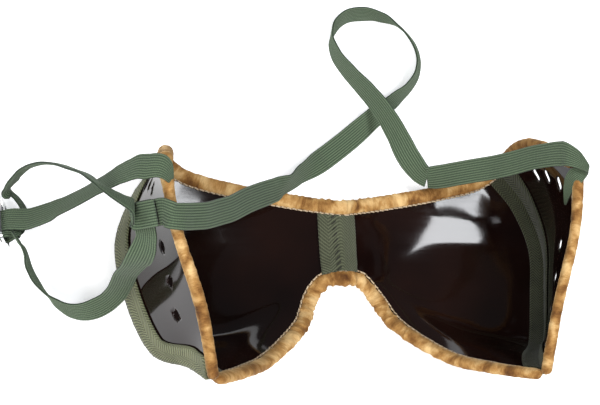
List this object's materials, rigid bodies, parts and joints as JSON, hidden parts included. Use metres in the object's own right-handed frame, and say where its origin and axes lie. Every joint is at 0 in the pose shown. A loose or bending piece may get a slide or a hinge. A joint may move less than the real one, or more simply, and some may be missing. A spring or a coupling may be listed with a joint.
{
  "type": "sand goggles",
  "caption": "Folding sand goggles with tinted sheet panes, vented side wings, velvet bound edges, cloth tapes and an elastic strap with a slide.",
  "frame": {"origin": "on the surface that the goggles lie on, under the middle of the goggles without the strap", "axes": "+X across the width, +Y towards the brow, +Z from the front panes towards the face opening"},
  "size_m": [0.2234, 0.1649, 0.072],
  "materials": {
    "tinted_sheet": "glossy celluloid sheet, very dark wine brown",
    "velvet": "crushed cotton velvet, golden tan",
    "seam_tape": "olive herringbone cotton tape",
    "elastic": "ribbed olive green woven elastic",
    "slide_metal": "bright plated steel"
  },
  "bodies": {
    "right_half": {"front_lens_right": "tinted_sheet", "top_binding_right": "velvet", "bottom_binding_right": "velvet", "outer_tape_right": "seam_tape", "inner_tape_right": "seam_tape", "bridge_tape_inner": "seam_tape", "bridge_tape_outer": "seam_tape", "strap_long_loop": "elastic", "strap_long_right": "elastic"},
    "left_half": {"front_lens_left": "tinted_sheet", "top_binding_left": "velvet", "bottom_binding_left": "velvet", "outer_tape_left": "seam_tape", "inner_tape_left": "seam_tape", "strap_long_left": "elastic", "strap_short": "elastic", "strap_return": "elastic", "strap_end_loop": "elastic"},
    "right_wing": {"side_lens_right": "tinted_sheet", "side_binding_right": "velvet", "temple_binding_right": "velvet", "strap_tab_right": "elastic"},
    "left_wing": {"side_lens_left": "tinted_sheet", "side_binding_left": "velvet", "temple_binding_left": "velvet", "strap_tab_left": "elastic"},
    "slide": {"slide_frame": "slide_metal", "slide_wrap": "elastic"}
  },
  "joints": [
    {"name": "bridge_fold", "type": "hinge", "parent": "right_half", "child": "left_half", "pos_m": [0, 0.0107, 0.0145], "axis": [0, 1, 0], "range_deg": [0, 75], "deforming": ["bridge_tape_inner", "bridge_tape_outer", "strap_long_loop"]},
    {"name": "right_wing_fold", "type": "hinge", "parent": "right_half", "child": "right_wing", "pos_m": [0.07, 0.0452, 0.0064], "axis": [-0.0818, -0.909, 0.4088], "range_deg": [0, 80], "deforming": ["outer_tape_right", "inner_tape_right", "side_binding_right", "strap_long_right"]},
    {"name": "left_wing_fold", "type": "hinge", "parent": "left_half", "child": "left_wing", "pos_m": [-0.07, 0.0452, 0.0064], "axis": [-0.0818, 0.909, -0.4088], "range_deg": [0, 80], "deforming": ["outer_tape_left", "inner_tape_left", "side_binding_left", "strap_short", "strap_return", "strap_end_loop", "strap_long_left"]},
    {"name": "slide_adjust", "type": "slide", "parent": "left_half", "child": "slide", "axis": [0.7211, -0.0501, 0.691], "range_m": [0, 0.01]}
  ]
}
